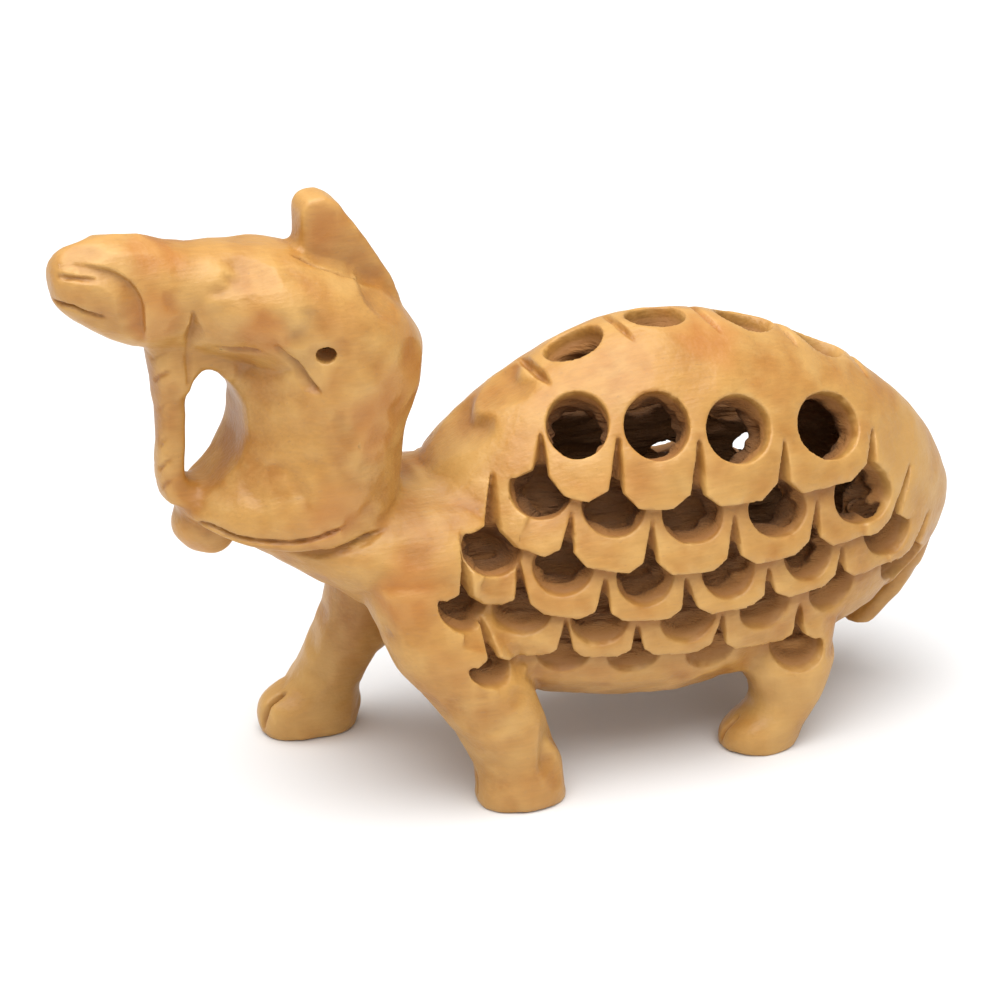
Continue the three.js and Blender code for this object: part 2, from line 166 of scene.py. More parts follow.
TAIL = [
    {"y": 35.4, "z": 21, "wide": 2.4, "deep": 1.6},
    {"y": 32.4, "z": 14.5, "wide": 2.6, "deep": 2},
    {"y": 29.4, "z": 10.5, "wide": 2.6, "deep": 2.4},
    {"y": 26.6, "z": 7.4, "wide": 2.3, "deep": 1.8},
]
LEGS = [
    [
        {"x": 8.6, "y": -32, "z": 27.5, "wide": 5, "deep": 6},
        {"x": 11, "y": -28.6, "z": 19, "wide": 5, "deep": 6.8},
        {"x": 12.2, "y": -24.6, "z": 12, "wide": 4.7, "deep": 5.8},
        {"x": 12.6, "y": -21.6, "z": 5.5, "wide": 4.4, "deep": 4.9},
        {"x": 12.7, "y": -21, "z": 1.5, "wide": 4.7, "deep": 5.2},
        {"x": 12.7, "y": -21, "z": -2, "wide": 4.2, "deep": 4.7},
    ],
    [
        {"x": -9, "y": -28.5, "z": 25.5, "wide": 5, "deep": 6},
        {"x": -10.6, "y": -30, "z": 15.5, "wide": 4.8, "deep": 5.4},
        {"x": -11.6, "y": -33.3, "z": 9, "wide": 4.3, "deep": 4.5},
        {"x": -12, "y": -35.3, "z": 5.5, "wide": 4.2, "deep": 4.7},
        {"x": -12, "y": -36.8, "z": 3, "wide": 4.4, "deep": 6},
        {"x": -12, "y": -36.9, "z": -2, "wide": 4.2, "deep": 5.6},
    ],
    [
        {"x": 9, "y": 12.5, "z": 15.5, "wide": 5.2, "deep": 6.4},
        {"x": 10.4, "y": 12.6, "z": 9.5, "wide": 4.6, "deep": 5.3},
        {"x": 11, "y": 12.2, "z": 5.3, "wide": 4, "deep": 4.1},
        {"x": 11, "y": 9.4, "z": 2.1, "wide": 4, "deep": 4.8},
        {"x": 11, "y": 8.8, "z": -2, "wide": 3.8, "deep": 4.4},
    ],
    [
        {"x": -9, "y": 15, "z": 15.5, "wide": 5.2, "deep": 7.5},
        {"x": -10.4, "y": 17.6, "z": 9.5, "wide": 4.6, "deep": 5.6},
        {"x": -11, "y": 19.6, "z": 5.3, "wide": 4, "deep": 4.2},
        {"x": -11, "y": 18.6, "z": 2.1, "wide": 4, "deep": 4.8},
        {"x": -11, "y": 18, "z": -2, "wide": 3.8, "deep": 4.5},
    ],
]

# Oval sections that stand upright across the camel, from the rear to the front
CHEST = [
    {"y": -23, "z": 25.5, "wide": 13.2, "deep": 10.8},
    {"y": -31, "z": 27.2, "wide": 13.2, "deep": 8.7},
    {"y": -38, "z": 30, "wide": 11.4, "deep": 6},
    {"y": -44, "z": 32, "wide": 8.5, "deep": 4},
    {"y": -49, "z": 33.6, "wide": 5, "deep": 2},
]
MUZZLE = [
    {"y": -36, "z": 55.5, "wide": 8, "deep": 6.4},
    {"y": -44, "z": 57.9, "wide": 9.2, "deep": 7},
    {"y": -50, "z": 59.5, "wide": 7.2, "deep": 6.2},
    {"y": -55, "z": 60.9, "wide": 5.6, "deep": 5.6},
    {"y": -59.6, "z": 61.9, "wide": 5.2, "deep": 6.4},
    {"y": -64.4, "z": 63.2, "wide": 4.4, "deep": 5.1},
    {"y": -67.3, "z": 63.9, "wide": 3.2, "deep": 3.6},
    {"y": -68.8, "z": 64.2, "wide": 1.8, "deep": 1.8},
]

# Ear fin: its outline in Y and Z
EAR_OUTLINE = [
    (-41.6, 58), (-41.6, 68.6), (-41.0, 69.6), (-39.9, 70), (-38.6, 69.9), (-37.2, 68.9),
    (-34.4, 64.8), (-31.2, 59.6), (-30.4, 57.4), (-30.4, 54),
]

# Notches across the spine between its holes: place along it, half width and depth
RIDGE_NOTCHES = [(-14.6, 0.7, 1.6), (-4.6, 0.5, 1.0), (5.8, 0.5, 0.9), (15.6, 0.6, 1.0), (25, 0.5, 0.9)]

# Knife cuts of the head, on the left side: the path, the widths of its walls on the two sides, the
# depth and how soon it fades at the ends
HEAD_CUTS = [
    # nostril
    ([(1.3, -68.6, 65.2), (2.7, -66.3, 65.1), (3.8, -63.8, 64.8)], 0.55, 0.3, 1.0, 1.5),
    # wing of the nose, which runs on as the edge between the muzzle's side and the rein
    (
        [(1.2, -68.2, 66.3), (2.4, -66.2, 66.7), (3.4, -64.3, 66.3), (3.9, -62.6, 65.5),
         (4.4, -61.3, 64.4), (4.7, -60.4, 62.6), (4.6, -60.2, 60.5), (4.2, -60.0, 57.0)],
        0.2, 3.0, 0.8, 2.5,
    ),
    # mouth
    ([(0.2, -68.8, 62.5), (2.6, -67.5, 62.3), (3.6, -65.6, 61.4), (4.2, -63.4, 60.4)], 0.3, 0.4, 1.2, 1.5),
    # cheek
    ([(4.6, -52.4, 56.2), (5.8, -50.0, 55.9), (6.8, -47.4, 55.5)], 0.2, 1.3, 1.0, 1.2),
    # jaw
    ([(7.6, -47.0, 57.2), (8.1, -45.6, 55.2), (8.7, -44.0, 53.0), (9.2, -42.1, 50.8)], 0.2, 1.4, 1.0, 1.5),
    # groove under the ear
    ([(2.6, -43.8, 64.4), (3.6, -41.2, 63.2), (4.0, -38.2, 61.6), (3.2, -34.4, 59.4)], 0.45, 0.35, 1.1, 2.5),
]

# Two grooves round the neck's foot
FOOT_CUTS = [
    (
        [(1.8, -55.0, 35.8), (5.4, -53.5, 35.5), (7.1, -51.8, 34.9), (8.9, -49.3, 34.6),
         (10.1, -46.9, 34.5), (10.7, -44.9, 34.6), (10.8, -42.1, 35.0), (10.5, -39.9, 35.5),
         (10.0, -38.1, 36.1)],
        0.35, 0.4, 1.2, 4,
    ),
    (
        [(6.3, -46.3, 32.2), (8.3, -44.2, 32.5), (9.7, -41.8, 32.8), (10.1, -39.8, 33.2),
         (9.8, -37.6, 33.7), (9.2, -34.9, 34.0)],
        0.2, 1.0, 1.3, 3,
    ),
]
REIN_NOTCHES = [54.8, 52.2, 48.6, 44.5, 41.8, 39.4]
# Levels of the notch between rein and cheek: height, reach to the front and rear, and how far from
# the middle plane its floor lies
NOTCH_LEVELS = [
    (62.8, 0.1, 0.1, 5.8), (60.5, 0.7, 0.8, 4.6), (57.5, 1.3, 1.8, 3.2), (54.5, 1.5, 2.9, 2.2),
    (51.5, 1.1, 3.6, 2.2), (49.0, 0.3, 3.6, 3.6),
]

# Single cuts: toe clefts, cracks on the leg and ticks under the lower holes
SINGLE_CUTS = [
    ([(12.6, -25.4, 4.6), (12.8, -26.6, 2.8), (12.9, -26.9, 0.6)], 0.35, 0.35, 0.9, 1),
    ([(-10.9, -39.6, 5.4), (-10.9, -41.2, 4.2), (-11, -42.6, 2.2), (-11, -42.9, 0.8)], 0.4, 0.4, 1.1, 1),
    ([(11, 6.6, 4.4), (11, 4.8, 2.8), (11, 4.0, 0.6)], 0.35, 0.35, 0.9, 1),
    ([(-11, 15.4, 4.4), (-11, 14.2, 2.6), (-11, 13.6, 0.6)], 0.35, 0.35, 0.9, 1),
    ([(16.1, -27.7, 14.2), (16.2, -26.4, 13.4), (16.3, -25.4, 13.1)], 0.12, 0.12, 0.5, 1),
    ([(16.2, -25.6, 12.0), (16.4, -24.4, 11.3), (16.4, -23.8, 10.6)], 0.15, 0.15, 0.6, 1),
    ([(16.0, -27.2, 15.4), (16.1, -26.2, 15.2)], 0.12, 0.12, 0.4, 0.6),
    ([(14.3, -20.9, 20.8), (14.3, -20.8, 19.4)], 0.2, 0.2, 0.9, 0.5),
    ([(13.0, -24.4, 16.0), (12.6, -24.2, 14.2)], 0.2, 0.2, 0.8, 0.6),
    ([(14.6, -16.0, 14.2), (14.0, -15.9, 12.8)], 0.16, 0.16, 0.6, 0.5),
    ([(14.6, -7.2, 13.2), (14.1, -7.1, 12.2)], 0.16, 0.16, 0.6, 0.5),
    ([(15.6, -11.9, 18.2), (15.4, -11.8, 17.4)], 0.16, 0.16, 0.6, 0.5),
    ([(16.8, -2.0, 22.8), (16.7, -1.9, 22.0)], 0.14, 0.14, 0.5, 0.5),
    ([(15.4, 8.6, 15.6), (15.2, 8.7, 14.8)], 0.16, 0.16, 0.6, 0.5),
]

# Where the knife left small flats: middle and reach of the place, how many, their depth and their span
FACETED = [
    ((0, -52, 60), (12, 20, 9), 44, 0.16, 3.6),
    ((0, -41, 48), (12, 14, 12), 34, 0.14, 4.2),
    ((12, -24, 9), (6, 10, 9), 30, 0.2, 3.2),
    ((-12, -33, 8), (6, 12, 9), 26, 0.2, 3.2),
    ((11, 11, 7), (6, 9, 8), 22, 0.2, 3),
    ((-11, 17, 7), (6, 9, 8), 20, 0.2, 3),
    ((0, 31, 14), (4, 8, 9), 12, 0.2, 2.6),
    ((0, -36, 31), (14, 14, 7), 26, 0.16, 4),
]
# Larger flats: brow, forehead, muzzle, back of the head and the back in front of the hump
FLATS = [
    ((9.0, -43.0, 57.5), (0.95, -0.25, 0.2), 0.35, 3.6),
    ((6.4, -49.0, 62.8), (0.6, -0.2, 0.78), 0.35, 5),
    ((2.8, -60.5, 67.6), (0.35, 0.1, 0.93), 0.3, 4),
    ((3.0, -65.6, 66.8), (0.4, -0.35, 0.85), 0.3, 3),
    ((7.5, -32.5, 52.0), (0.7, 0.7, 0.1), 0.4, 5),
    ((7.5, -33.0, 45.0), (0.75, 0.65, 0.0), 0.3, 5),
    ((5.0, -33.5, 59.5), (0.5, 0.5, 0.7), 0.3, 3.5),
    ((0.0, -26.5, 40.5), (0.0, -0.5, 0.87), 0.5, 7),
    ((0.0, -20.0, 43.8), (0.0, -0.4, 0.92), 0.4, 6),
    ((14.9, -19.6, 9.0), (0.6, 0.8, 0.0), 0.5, 6),
]

# Warm and pale patches of the wood: middle and reach. The warm patches are partly the wood's own tone and
# partly painted shade, as on the ear and on the knob under the neck
WARM_AND_SHADE_SPOTS = [
    ((4.8, -58.6, 60.6), 3.4), ((2.5, -58.5, 66.8), 3.2), ((6.5, -31.5, 49.5), 5.0),
    ((-1, -52.3, 31.8), 4.0), ((4, 5.5, 49.0), 5), ((8, -47.5, 58.0), 3.2), ((5, -38.0, 67.0), 4.5),
    ((9.5, -37.0, 47.0), 4.5), ((10, -40.5, 37.0), 4), ((12, -34.0, 27.0), 4), ((15, -12, 36), 4),
]
PALE_SPOTS = [
    ((10, 30, 30), 9), ((4, -27, 39.5), 6), ((12, 12, 6), 7), ((3.5, -38.5, 61.8), 3.6),
    ((9, -44.5, 59.5), 3), ((3, -65.5, 66), 3), ((13, -24, 8), 6), ((-12, -37, 6), 7), ((0, 20, 46), 7),
    ((8.5, -43, 54.5), 3.4), ((6, -52, 63), 4),
]

# Camera and lamps, worked out from the photograph
AZIMUTH = 68
ELEVATION = 25
CAMERA_DISTANCE = 0.5
LENS = 162
AIM = Vector((0, -18.2, 30.25))
LAMP_DISTANCE = 0.6


# Small helpers


def size_of(name):
    """One of the carving's own sizes, in millimetres."""
    return getattr(bpy.context.scene.carving_sizes, name) / MM


def new_object(name, bm):
    """Makes an object of a bmesh and frees the bmesh."""
    mesh = bpy.data.meshes.new(name)
    bm.to_mesh(mesh)
    bm.free()
    piece = bpy.data.objects.new(name, mesh)
    bpy.context.scene.collection.objects.link(piece)
    return piece


def settle(piece):
    """Applies the piece's modifiers to its mesh."""
    depsgraph = bpy.context.evaluated_depsgraph_get()
    mesh = bpy.data.meshes.new_from_object(piece.evaluated_get(depsgraph))
    spent = piece.data
    piece.modifiers.clear()
    piece.data = mesh
    bpy.data.meshes.remove(spent)


def combine(piece, tools, operation):
    """Joins all the tools to the piece or cuts them away at once, and removes the tools."""
    bench = bpy.data.collections.new("tools")
    bpy.context.scene.collection.children.link(bench)
    for tool in tools:
        bpy.context.scene.collection.objects.unlink(tool)
        bench.objects.link(tool)
    modifier = piece.modifiers.new(operation, "BOOLEAN")
    modifier.operation = operation
    modifier.solver = "MANIFOLD"
    modifier.operand_type = "COLLECTION"
    modifier.collection = bench
    settle(piece)
    for tool in tools:
        mesh = tool.data
        bpy.data.objects.remove(tool)
        bpy.data.meshes.remove(mesh)
    bpy.data.collections.remove(bench)


def join(piece, tools):
    combine(piece, tools, "UNION")


def cut(piece, tools):
    combine(piece, tools, "DIFFERENCE")


def remeshed(piece, size, rounds):
    """Makes one even skin of the piece, and softens it."""
    modifier = piece.modifiers.new("Skin", "REMESH")
    modifier.mode = "VOXEL"
    modifier.voxel_size = size
    settle(piece)
    bm = bmesh.new()
    bm.from_mesh(piece.data)
    for _ in range(rounds):
        bmesh.ops.smooth_vert(
            bm, verts=bm.verts, factor=0.5, use_axis_x=True, use_axis_y=True, use_axis_z=True
        )
    bm.to_mesh(piece.data)
    bm.free()


def rings_joined(rings):
    """Bridges a row of rings, closes both ends and returns the bmesh. A ring is a list of places."""
    bm = bmesh.new()
    loops = []
    for ring in rings:
        made = bmesh.ops.create_circle(bm, cap_ends=False, segments=len(ring), radius=1)
        for vert, place in zip(made["verts"], ring):
            vert.co = place
        loops.append(list({edge for vert in made["verts"] for edge in vert.link_edges}))
    ends = [loops[0], loops[-1]]
    for near, far in zip(loops, loops[1:]):
        bmesh.ops.bridge_loops(bm, edges=near + far)
    for loop in ends:
        bmesh.ops.edgeloop_fill(bm, edges=loop)
    bmesh.ops.triangulate(bm, faces=[f for f in bm.faces if len(f.verts) > 4])
    bmesh.ops.recalc_face_normals(bm, faces=bm.faces)
    return bm


def plate(name, outline, low, high):
    """A plate cut to an outline in Y and Z, from one X to another."""
    bm = bmesh.new()
    made = bmesh.ops.create_circle(bm, cap_ends=True, segments=len(outline), radius=1)
    for vert, (y, z) in zip(made["verts"], outline):
        vert.co = (low, y, z)
    grown = bmesh.ops.extrude_face_region(bm, geom=list(bm.faces))
    moved = [v for v in grown["geom"] if isinstance(v, bmesh.types.BMVert)]
    bmesh.ops.translate(bm, verts=moved, vec=(high - low, 0, 0))
    bmesh.ops.recalc_face_normals(bm, faces=bm.faces)
    return new_object(name, bm)


def oval(name, middle, size, turn=None, segments=32):
    bm = bmesh.new()
    matrix = Matrix.Translation(middle) @ (turn or Matrix.Identity(4)) @ Matrix.Diagonal((*size, 1))
    bmesh.ops.create_uvsphere(
        bm, u_segments=segments, v_segments=segments // 2, radius=1, matrix=matrix
    )
    return new_object(name, bm)


def in_between(sections, steps):
    """Adds sections between the given ones along a smooth curve through them."""
    filled = []
    last = len(sections) - 1
    for i in range(last):
        around = [sections[min(max(k, 0), last)] for k in (i - 1, i, i + 1, i + 2)]
        for step in range(steps):
            t = step / steps
            section = {}
            for key in ("x", "y", "z", "wide", "deep"):
                a, b, c, d = (s.get(key, 0) for s in around)
                section[key] = 0.5 * (
                    2 * b + (c - a) * t + (2 * a - 5 * b + 4 * c - d) * t**2
                    + (3 * b - a - 3 * c + d) * t**3
                )
            filled.append(section)
    return filled + [sections[last]]


def signed_power(value, power):
    return math.copysign(abs(value) ** power, value)


def form(name, sections, upright=False, sides=48, roundness=2.2, keel=None, steps=5):
    """A form skinned over parallel ovals: level ones up a column, or upright ones along the camel. A
    keel is the roundness of the half that faces forwards or down."""
    rings = []
    for s in in_between(sections, steps):
        ring = []
        for k in range(sides):
            angle = 2 * math.pi * (k + 0.5) / sides
            power = 2 / (keel if keel and math.sin(angle) < 0 else roundness)
            across = s["wide"] * signed_power(math.cos(angle), power)
            through = s["deep"] * signed_power(math.sin(angle), power)
            x = s.get("x", 0) + across
            if upright:
                ring.append(Vector((x, s["y"], s["z"] + through)))
            else:
                ring.append(Vector((x, s["y"] + through, s["z"])))
        rings.append(ring)
    return new_object(name, rings_joined(rings))


# The barrel of the body and its skin


def body_at(y):
    """How tall and how wide the body is at a place along it, as shares, and how high its axis lies."""
    behind = y > MIDDLE_Y
    share = min(1, abs(y - MIDDLE_Y) / (REAR if behind else FRONT))
    tall = (1 - share**PROFILE) ** (1 / PROFILE)
    wide = tall if behind else (1 - share**SHOULDER_PROFILE) ** (1 / SHOULDER_PROFILE)
    return tall, wide, AXIS_Z + (REAR_LIFT * share**2 if behind else 0)


def body_point(y, angle):
    """A point of the body's skin at a place along it and an angle round it."""
    tall, wide, axis = body_at(y)
    power = 2 / (HUMP_ROUNDNESS if math.sin(angle) > 0 else BELLY_ROUNDNESS)
    reach = RISE if math.sin(angle) > 0 else DROP
    x = HALF_WIDTH * wide * signed_power(math.cos(angle), power)
    return Vector((x, y, axis + reach * tall * signed_power(math.sin(angle), power)))


def barrel():
    sides = 96
    rings = []
    count = 64
    for i in range(count + 1):
        t = -0.985 + 1.97 * i / count
        y = MIDDLE_Y + math.sin(t * math.pi / 2) * (REAR if t > 0 else FRONT)
        rings.append([body_point(y, 2 * math.pi * (k + 0.5) / sides) for k in range(sides)])
    return new_object("barrel", rings_joined(rings))


def neck():
    """The neck and skull, cut away under the foot, with the opening behind the rein."""
    column = form("neck", NECK, keel=1.6)
    rings = []
    steps = 28
    wide = 20
    for i in range(steps + 1):
        y = FOOT["front"] + (FOOT["rear"] - FOOT["front"]) * i / steps
        level = FOOT["z"] + FOOT["rise"] * (y - FOOT["y"]) ** 2
        rings.append([Vector(p) for p in (
            (-wide, y, 20), (wide, y, 20), (wide, y, level), (-wide, y, level),
        )])
    cut(column, [new_object("under the foot", rings_joined(rings))])
    join(column, [form("rein", REIN, sides=32, roundness=2.8)])
    web = [(-57, 60), (-57, 50), (-49, 50), (-46, 60)]
    join(column, [plate("web", web, -2.6, 2.6)])
    cut(column, [plate("opening", OPENING, -20, 20)])
    return column


def rough_out():
    """The uncut blank: every form of the camel joined into one skin."""
    camel = barrel()
    half_ear = size_of("ear") / 2
    parts = [neck(), plate("ear", EAR_OUTLINE, -half_ear, half_ear)]
    parts += [form("form", sections, upright=True) for sections in (CHEST, MUZZLE)]
    parts += [form("form", sections) for sections in (KNOB, TAIL, *LEGS)]
    join(camel, parts)
    bm = bmesh.new()
    bmesh.ops.create_cube(bm, size=200, matrix=Matrix.Translation((0, 0, -100)))
    cut(camel, [new_object("ground", bm)])
    return camel


# The skin of the blank, which every later cut is measured from


class Skin:
    """The uncut surface of the blank."""

    def __init__(self, blank):
        bm = bmesh.new()
        bm.from_mesh(blank.data)
        self.tree = BVHTree.FromBMesh(bm)
        bm.free()

    def flank(self, y, z, side):
        """The point of a flank at a place and height. Side is 1 for the left, -1 for the right."""
        hit = self.tree.ray_cast(Vector((side * 60, y, z)), Vector((-side, 0, 0)))[0]
        return hit if hit else Vector((0, y, z))

    def nearest(self, place, spread=0.9):
        """The nearest point of the skin, and the way out of the wood there."""
        here = self.tree.find_nearest(place)[0]
        out = Vector((0, 0, 0))
        for _, normal, _, _ in self.tree.find_nearest_range(here, spread):
            out += normal
        return here, out.normalized()

    def depth(self, place):
        return self.tree.find_nearest(place)[3]


# Piercing


def row_height(row, y):
    return row["z"] - row["fall"] * y + row["lift"] * min(y, 0) ** 2


def flank_axes(skin, row, y, side):
    """The point of a row on the flank, and the ways along the row, down the flank and out of it."""
    reach = 2
    here = skin.flank(y, row_height(row, y), side)
    along = skin.flank(y + reach, row_height(row, y + reach), side)
    along = (along - skin.flank(y - reach, row_height(row, y - reach), side)).normalized()
    rise = skin.flank(y, here.z + reach, side) - skin.flank(y, here.z - reach, side)
    out = along.cross(rise).normalized() * side
    down = -(rise - along * rise.dot(along)).normalized()
    return here, along, down, out


def down_from(skin, axes, distance, side):
    """The skin's point a given distance down the flank from a place."""
    here, _, down, _ = axes
    return skin.flank(here.y + down.y * distance, here.z + down.z * distance, side)


def tips_above(row, y):
    """How far above the middle of a row's hole the tips of the row above end."""
    return max(0, row["tips"] + row["tilt"] * y)


def flank_hole(skin, row, y, side, dice):
    """One hole of a flank. Its top is cut flat under the tips of the row above, and it closes in
    towards the top as it goes deeper, more so where the row's holes are bowls."""
    here, along, down, out = flank_axes(skin, row, y, side)
    deep, bowl = row["deep"], row["bowl"]
    step = size_of("step")
    half = row["wide"] * (1 + row["widen"] * (y - ROWS[0]["holes"][0]))
    levels = [
        (1.05, 0, 4), (1.05, 0, 0.1), (0.98, 0, -0.3), (0.95 - 0.12 * bowl, 0.3 * bowl, -1.7),
        (0.92 - 0.3 * bowl, 0.8 * bowl, -2.9), (0.9 - 0.5 * bowl, 1.2 * bowl, -0.8 * deep),
        (0.8 - 0.75 * bowl, 1.2 * bowl, -deep),
    ]
    sides = 48
    top = tips_above(row, y)
    lean = dice.uniform(-0.08, 0.08)
    swells = [(n, dice.uniform(0, 0.035 / n), dice.uniform(0, 6)) for n in (2, 3, 5)]
    rings = []
    for grow, lift, height in levels:
        ring = []
        for k in range(sides):
            angle = 2 * math.pi * k / sides
            reach = grow * (1 + sum(size * math.sin(n * angle + turn) for n, size, turn in swells))
            across = half * reach * math.cos(angle)
            fall = row["tall"] * reach * math.sin(angle) - lift
            if row["slits"] and height > -step - 0.2:
                fall = max(fall, 0.1 - top)
            ring.append(here + along * (across + lean * height) + down * fall + out * height)
        rings.append(ring)
    return new_object("hole", rings_joined(rings))


def slope_under_tips(skin, row, side):
    """The cut that slopes a whole row of tiles in under the tips of the row above it."""
    proud = 3
    step = size_of("step")
    holes = row["holes"]
    stations = []
    for near, far in zip(holes, holes[1:]):
        parts = 10
        stations += [near + (far - near) * k / parts for k in range(parts)]
    stations.append(holes[-1])
    rings = []
    for y in stations:
        axes = flank_axes(skin, row, y, side)
        out = axes[3]
        top = tips_above(row, y)
        high = down_from(skin, axes, -top, side)
        low = down_from(skin, axes, row["strap"], side)
        upper = down_from(skin, axes, 0.3 * row["strap"] - 0.7 * top, side)
        lower = down_from(skin, axes, 0.7 * row["strap"] - 0.3 * top, side)
        rings.append([
            high - out * step,
            high + out * proud,
            low + out * proud,
            low + out * 0.02,
            lower - out * step * 0.28,
            upper - out * step * 0.7,
        ])
    return new_object("slope", rings_joined(rings))


def slit(skin, row, above, number, side, dice):
    """The slit above a hole. It parts two tiles, widens downwards and cuts their lower corners off at
    a slant, so that it makes a roof over the hole."""
    hole_y, y = row["holes"][number], row["slits"][number]
    here, along, _, out = flank_axes(skin, row, hole_y, side)
    start = row_height(above, y) + (tips_above(above, y) if above["slits"] else -0.6)
    tip = skin.flank(y, start, side)
    length = (tip - here).length
    level = tips_above(row, hole_y)
    half = size_of("slit") / 2 * dice.uniform(0.85, 1.15)
    corner = level + row["corner"][1] * dice.uniform(0.9, 1.1)
    foot = half + row["corner"][0] * dice.uniform(0.92, 1.08)
    stations = [
        (length, 0.1, 0.6, 0.1),
        (length * 0.7 + corner * 0.3, half * 0.45, 2.0, 0.1),
        (length * 0.35 + corner * 0.65, half * 0.75, 3.0, 0.1),
        (corner, half, 3.6, 0.2),
        (level, foot, 3.6, 0.8),
        (level - 0.4, foot + 0.1, 3.6, 0.8),
    ]
    proud = 1.5
    rings = []
    for distance, wide, deep, flat in stations:
        share = distance / length
        at = skin.flank(here.y + (tip.y - here.y) * share, here.z + (tip.z - here.z) * share, side)
        rim = wide * (1 + 0.25 * (1 - flat))
        rings.append([
            at - along * rim + out * proud,
            at + along * rim + out * proud,
            at + along * wide,
            at + along * (wide * flat) - out * deep,
            at - along * (wide * flat) - out * deep,
            at - along * wide,
        ])
    return new_object("slit", rings_joined(rings))


def flank_rows(side):
    """The rows of one flank."""
    if side > 0:
        return ROWS
    moved = []
    for row in ROWS:
        places = {key: [y - RIGHT_FORWARD for y in row[key]] for key in ("holes", "slits", "pockets")}
        moved.append({**row, **places, "z": row["z"] - RIGHT_LOWER})
    return moved


def hollows(skin, dice):
    """The space inside: one long hollow, and a rough pocket behind each upper hole."""
    size = Vector((
        HOLLOW["wide"],
        (HOLLOW["rear"] - HOLLOW["front"]) / 2,
        (HOLLOW["top"] - HOLLOW["floor"]) / 2,
    ))
    middle = Vector((
        0, (HOLLOW["rear"] + HOLLOW["front"]) / 2, (HOLLOW["top"] + HOLLOW["floor"]) / 2,
    ))
    tools = [oval("hollow", middle, size)]
    for side in (1, -1):
        for row in flank_rows(side):
            for y in row["pockets"]:
                here, along, _, out = flank_axes(skin, row, y, side)
                at = here - out * dice.uniform(7, 8.5) + along * dice.uniform(-1, 1)
                reach = [dice.uniform(2.8, 3.8) for _ in range(3)]
                tools.append(oval("pocket", at, reach, segments=20))
    return tools


def flank_tools(skin, side, dice):
    """All the cuts of one flank, first the sloping rows and then the holes and slits."""
    rows = flank_rows(side)
    slopes = [slope_under_tips(skin, row, side) for row in rows[1:]]
    openings = []
    for index, row in enumerate(rows):
        for number, y in enumerate(row["holes"]):
            openings.append(flank_hole(skin, row, y, side, dice))
            if row["slits"]:
                openings.append(slit(skin, row, rows[index - 1], number, side, dice))
    return slopes + openings


def ridge_tools(skin):
    """The holes along the spine, and the notches between them."""
    tools = []
    radius = size_of("ridge_hole") / 2
    for y in RIDGE_HOLES:
        here = body_point(y, math.pi / 2)
        along = (body_point(y + 1, math.pi / 2) - body_point(y - 1, math.pi / 2)).normalized()
        down = Vector((1, 0, 0))
        out = down.cross(along)
        rings = []
        sides = 40
        for grow, height in ((1.05, 3), (1.05, 0), (0.95, -1), (0.85, -4), (0.75, -size_of("ridge_depth"))):
            ring = []
            for k in range(sides):
                angle = 2 * math.pi * k / sides
                reach = radius * grow
                flat = along * (reach * math.cos(angle)) + down * (reach * 0.9 * math.sin(angle))
                ring.append(here + flat + out * height)
            rings.append(ring)
        tools.append(new_object("hole", rings_joined(rings)))
    for y, wide, deep in RIDGE_NOTCHES:
        z = body_point(y, math.pi / 2).z
        path = [(-4.6, y + 0.4, z - 1), (0, y, z), (4.6, y + 0.8, z - 1)]
        tools.append(knife_cut(skin, path, wide, wide, deep, 3))
    return tools


# Knife cuts


def smooth_path(points, gap):
    """Places at even gaps along a smooth curve through the given points."""
    last = len(points) - 1
    path = []
    for i in range(last):
        a, b, c, d = (points[min(max(k, 0), last)] for k in (i - 1, i, i + 1, i + 2))
        steps = max(1, round((c - b).length / gap))
        for step in range(steps):
            t = step / steps
            path.append(0.5 * (
                2 * b + (c - a) * t + (2 * a - 5 * b + 4 * c - d) * t**2
                + (3 * b - a - 3 * c + d) * t**3
            ))
    return path + [points[last]]


def knife_cut(skin, points, left, right, deep, fade=2, gap=0.5):
    """A cut with two sloping walls along a path on the skin, which fades out at both ends. Left and
    right are how wide the walls are on either side of the path."""
    path = smooth_path([Vector(p) for p in points], gap)
    on_skin = [skin.nearest(place) for place in path]
    runs = [0]
    for near, far in zip(on_skin, on_skin[1:]):
        runs.append(runs[-1] + (far[0] - near[0]).length)
    proud = 1.2
    rings = []
    for i, (here, out) in enumerate(on_skin):
        ahead = on_skin[min(i + 1, len(path) - 1)][0]
        behind = on_skin[max(i - 1, 0)][0]
        side = (ahead - behind).cross(out).normalized()
        share = min(1, 0.12 + min(runs[i], runs[-1] - runs[i]) / fade)
        rings.append([
            here - side * left * share * 1.1 + out * proud,
            here + side * right * share * 1.1 + out * proud,
            here + side * right * share,
            here - out * deep * share,
            here - side * left * share,
        ])
    return new_object("cut", rings_joined(rings))


def mirrored(points, side):
    return [(p[0] * side, p[1], p[2]) for p in points]


def both_sides(skin, cuts):
    """The same knife cuts on the left and the right."""
    tools = []
    for side in (1, -1):
        for path, left, right, deep, fade in cuts:
            walls = (left, right) if side > 0 else (right, left)
            tools.append(knife_cut(skin, mirrored(path, side), *walls, deep, fade))
    return tools


def eye_tools(skin):
    """The drilled eyes, each with a scoop running into it from the front."""
    tools = []
    for side in (1, -1):
        eye, out = skin.nearest(Vector((side * 9.6, -41.8, 55.1)))
        turn = out.to_track_quat("Z", "Y").to_matrix().to_4x4()
        tools.append(oval("eye", eye - out * 0.8, (1.1, 1.0, 2.6), turn))
        tools.append(oval("scoop", eye + Vector((0, -1.0, 0.2)) + out * 1.0, (1.9, 2.2, 1.5), turn))
    return tools


